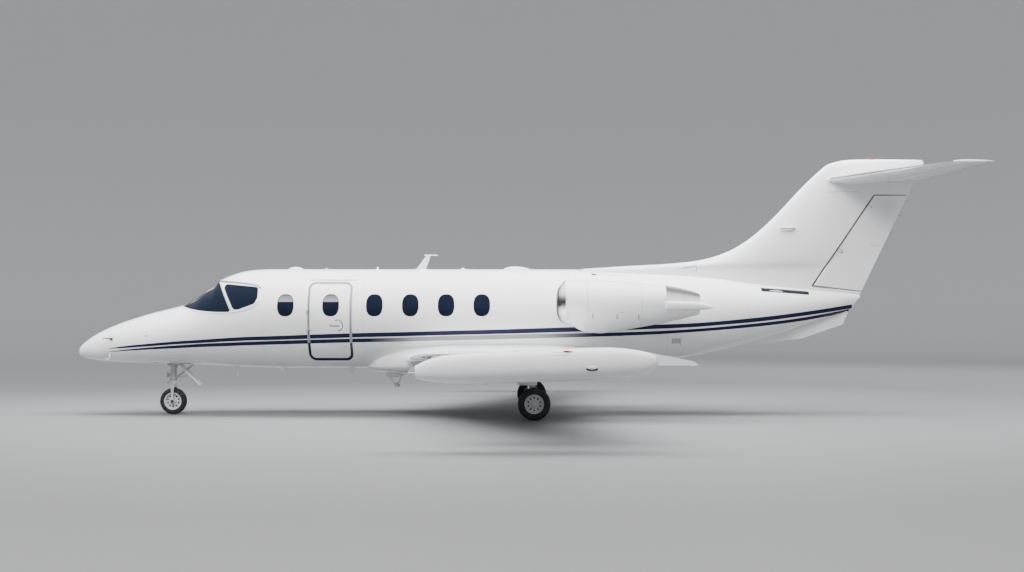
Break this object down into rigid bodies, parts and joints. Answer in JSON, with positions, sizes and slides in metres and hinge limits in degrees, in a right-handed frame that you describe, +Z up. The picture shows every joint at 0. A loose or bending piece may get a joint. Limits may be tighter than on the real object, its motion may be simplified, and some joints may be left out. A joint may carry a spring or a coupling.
{
  "type": "twin-engine business jet",
  "caption": "Business jet with a T-tail, wing-tip tanks, rear-mounted engines, an entry stair door opening and a furnished cabin, standing on its landing gear.",
  "frame": {"origin": "on the floor, below the middle of the aircraft's length and width", "axes": "+X towards the tail, +Z up; the entry door is on the -Y side"},
  "size_m": [14.62, 12.61, 4.325],
  "materials": {
    "carpet": "short-pile carpet over the floor panels",
    "dark_metal": "dark heat-stained metal",
    "glass": "tinted acrylic glazing",
    "leather": "soft tan leather",
    "paint": "gloss white paint with dark blue and light grey stripes",
    "polished": "polished bare metal",
    "steel": "satin steel",
    "trim": "dark matt trim",
    "tyre": "black rubber"
  },
  "bodies": {
    "airframe": {"belly_fairing": "paint", "blade_antenna": "paint", "cabin_floor": "carpet", "cabin_seats": "leather", "cabin_windows_left": "glass", "cabin_windows_right": "glass", "cockpit_window_left": "glass", "cockpit_window_right": "glass", "engine_left": "dark_metal", "engine_right": "dark_metal", "exhaust_left": "polished", "exhaust_right": "polished", "fin_cap": "paint", "forward_window_left": "glass", "fuselage_shell": "paint", "instrument_panel": "trim", "main_gear_door_left": "paint", "main_gear_door_right": "paint", "main_leg_left": "steel", "main_leg_right": "steel", "nacelle_left": "paint", "nacelle_right": "paint", "nose_gear_door": "paint", "nose_leg": "steel", "nose_section": "paint", "pilot_seats": "leather", "pylon_left": "paint", "pylon_right": "paint", "tail_cone": "paint", "tailplane": "paint", "tip_tank_left": "paint", "tip_tank_right": "paint", "ventral_fin": "paint", "vertical_fin": "paint", "windshield_left": "glass", "windshield_right": "glass", "wing_left": "paint", "wing_right": "paint"},
    "entry_door": {"entry_door": "paint", "door_window": "glass"},
    "nose_fork": {"nose_fork": "steel"},
    "nose_wheel": {"nose_wheel": "polished", "nose_tyre": "tyre"},
    "rudder": {"rudder": "paint"},
    "main_wheel_left": {"main_wheel_left": "polished", "main_tyre_left": "tyre"},
    "fan_left": {"fan_left": "polished"},
    "elevator_left": {"elevator_left": "paint"},
    "flap_left": {"flap_left": "paint"},
    "aileron_left": {"aileron_left": "paint"},
    "main_wheel_right": {"main_wheel_right": "polished", "main_tyre_right": "tyre"},
    "fan_right": {"fan_right": "polished"},
    "elevator_right": {"elevator_right": "paint"},
    "flap_right": {"flap_right": "paint"},
    "aileron_right": {"aileron_right": "paint"}
  },
  "joints": [
    {"name": "entry_door_swing", "type": "hinge", "parent": "airframe", "child": "entry_door", "pos_m": [-3.299, -0.855, 1.44], "axis": [0, 0, -1], "range_deg": [0, 100]},
    {"name": "nose_steer", "type": "hinge", "parent": "airframe", "child": "nose_fork", "pos_m": [-5.705, 0, 0.5], "axis": [0, 0, 1], "range_deg": [-45, 45]},
    {"name": "nose_wheel_spin", "type": "hinge", "parent": "nose_fork", "child": "nose_wheel", "pos_m": [-5.705, 0, 0.22223], "axis": [0, 1, 0], "continuous": true},
    {"name": "main_wheel_spin_left", "type": "hinge", "parent": "airframe", "child": "main_wheel_left", "pos_m": [0.4, -1.42, 0.26174], "axis": [0, 1, 0], "continuous": true},
    {"name": "main_wheel_spin_right", "type": "hinge", "parent": "airframe", "child": "main_wheel_right", "pos_m": [0.4, 1.42, 0.26174], "axis": [0, 1, 0], "continuous": true},
    {"name": "fan_spin_left", "type": "hinge", "parent": "airframe", "child": "fan_left", "pos_m": [1.06, -1.37, 1.875], "axis": [1, 0, 0], "continuous": true},
    {"name": "fan_spin_right", "type": "hinge", "parent": "airframe", "child": "fan_right", "pos_m": [1.06, 1.37, 1.875], "axis": [1, 0, 0], "continuous": true},
    {"name": "rudder_swing", "type": "hinge", "parent": "airframe", "child": "rudder", "pos_m": [5.192, 0, 2.188], "axis": [0.5634, 0, 0.8262], "range_deg": [-25, 25]},
    {"name": "elevator_swing_left", "type": "hinge", "parent": "airframe", "child": "elevator_left", "pos_m": [6.44199, -0.17, 3.97554], "axis": [-0.2883, 0.9573, -0.0199], "range_deg": [-20, 15]},
    {"name": "elevator_swing_right", "type": "hinge", "parent": "airframe", "child": "elevator_right", "pos_m": [6.44199, 0.17, 3.97554], "axis": [0.2883, 0.9573, 0.0199], "range_deg": [-20, 15]},
    {"name": "flap_swing_left", "type": "hinge", "parent": "airframe", "child": "flap_left", "pos_m": [0.47322, -1.06, 0.85929], "axis": [-0.1684, 0.9838, -0.062], "range_deg": [0, 30]},
    {"name": "flap_swing_right", "type": "hinge", "parent": "airframe", "child": "flap_right", "pos_m": [0.47322, 1.06, 0.85929], "axis": [0.1684, 0.9838, 0.062], "range_deg": [0, 30]},
    {"name": "aileron_swing_left", "type": "hinge", "parent": "airframe", "child": "aileron_left", "pos_m": [0.91138, -3.62, 1.02052], "axis": [-0.1684, 0.9838, -0.062], "range_deg": [-15, 15]},
    {"name": "aileron_swing_right", "type": "hinge", "parent": "airframe", "child": "aileron_right", "pos_m": [0.91138, 3.62, 1.02052], "axis": [0.1684, 0.9838, 0.062], "range_deg": [-15, 15]}
  ],
  "couplings": [
    {"joint": "elevator_swing_right", "follows": "elevator_swing_left", "ratio": 1},
    {"joint": "flap_swing_right", "follows": "flap_swing_left", "ratio": 1},
    {"joint": "aileron_swing_right", "follows": "aileron_swing_left", "ratio": -1}
  ]
}
